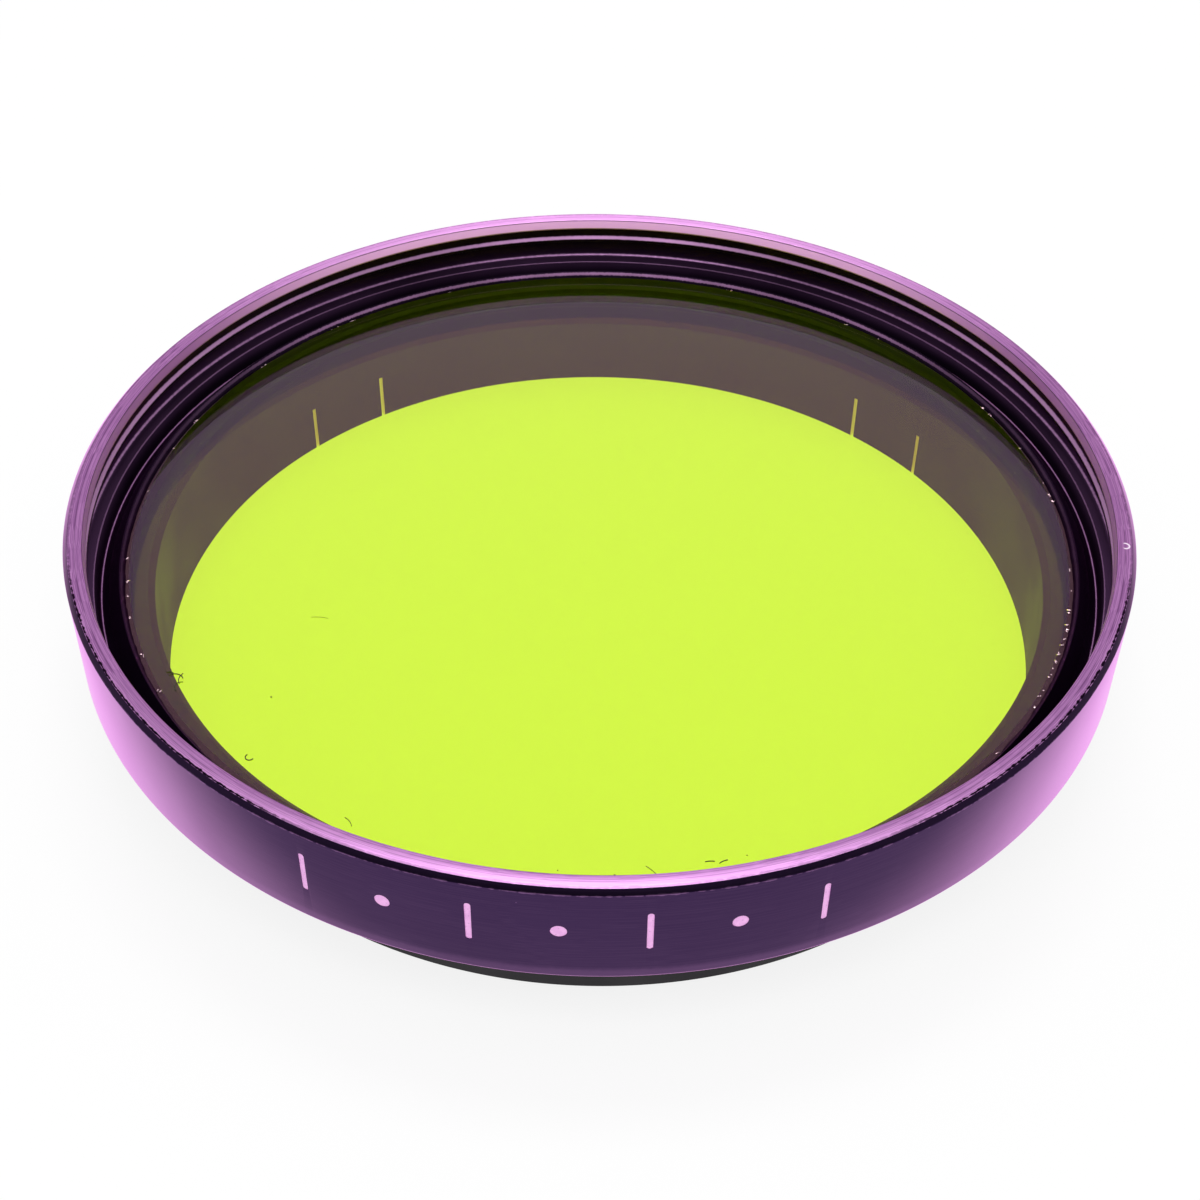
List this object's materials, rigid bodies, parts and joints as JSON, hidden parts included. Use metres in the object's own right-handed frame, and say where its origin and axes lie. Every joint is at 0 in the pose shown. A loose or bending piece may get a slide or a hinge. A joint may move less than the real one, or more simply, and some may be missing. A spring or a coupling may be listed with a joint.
{
  "type": "slip-on color filter",
  "caption": "Round slip-on lens filter: a disc of yellow-green glass held by a rolled lip in a turned purple ring with a slotted push-on collar.",
  "frame": {"origin": "centre of the collar's foot, on the optical axis", "axes": "+Z along the optical axis towards the scene, -Y towards the engraved index marks, +X to the right of them"},
  "size_m": [0.06, 0.06, 0.012],
  "materials": {
    "ring_metal": "satin purple anodised, with fine turning lines and edges worn bright",
    "green_glass": "polished yellow-green glass with a faint purple coating",
    "mark_paint": "pale pink paint wiped into engraved marks"
  },
  "bodies": {
    "root": {"mount_ring": "ring_metal", "filter_glass": "green_glass", "mark_paint": "mark_paint"}
  },
  "joints": []
}
